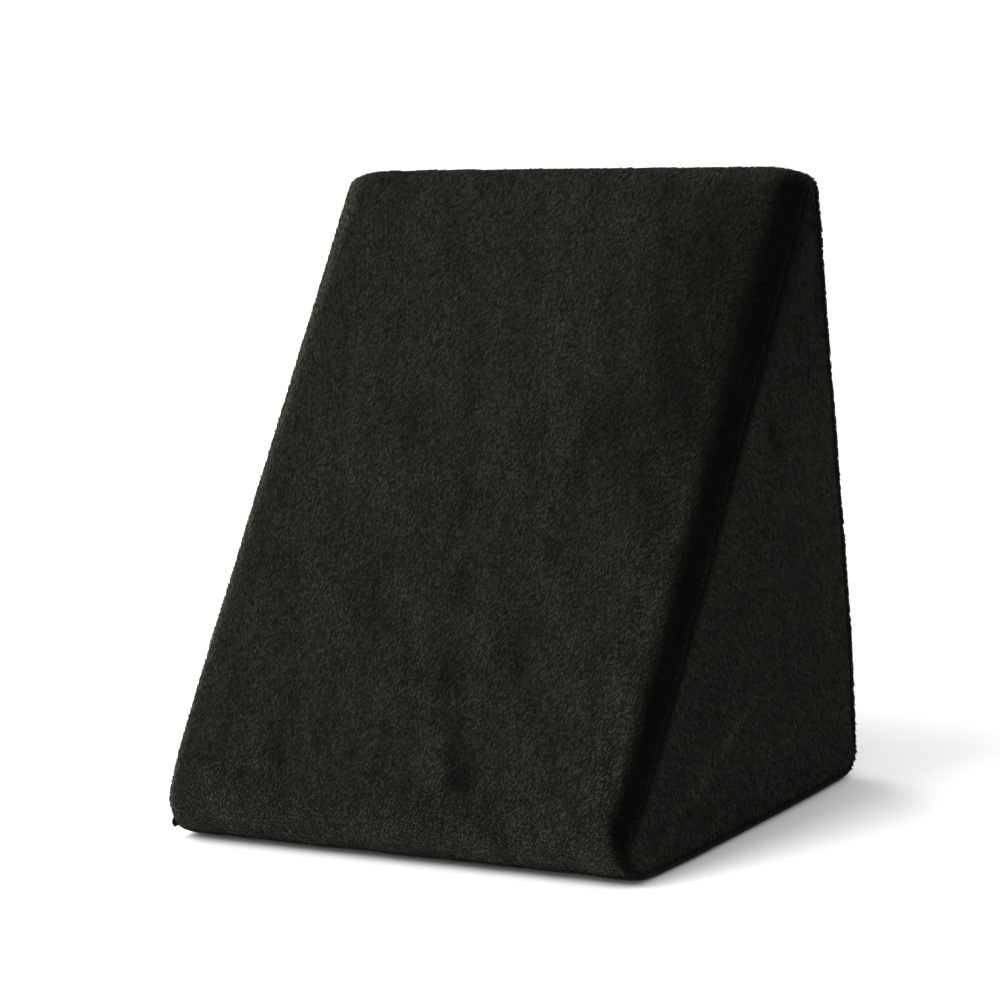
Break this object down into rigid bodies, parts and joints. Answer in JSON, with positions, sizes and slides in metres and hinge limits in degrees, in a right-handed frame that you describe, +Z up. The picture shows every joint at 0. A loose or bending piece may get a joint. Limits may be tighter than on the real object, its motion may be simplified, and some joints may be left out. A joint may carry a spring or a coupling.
{
  "type": "wedge pillow",
  "caption": "Foam-filled wedge pillow with an upright back, a steep slope, rounded rolled edges and a dark plush cover.",
  "frame": {"origin": "middle of the base, on the surface that the pillow rests on", "axes": "+Z up, +Y towards the upright back, -Y towards the toe of the slope, X across the width"},
  "size_m": [0.41, 0.3177, 0.4369],
  "materials": {
    "charcoal_plush": "short brushed plush pile, near black"
  },
  "bodies": {
    "root": {"wedge_pillow": "charcoal_plush"}
  },
  "joints": []
}
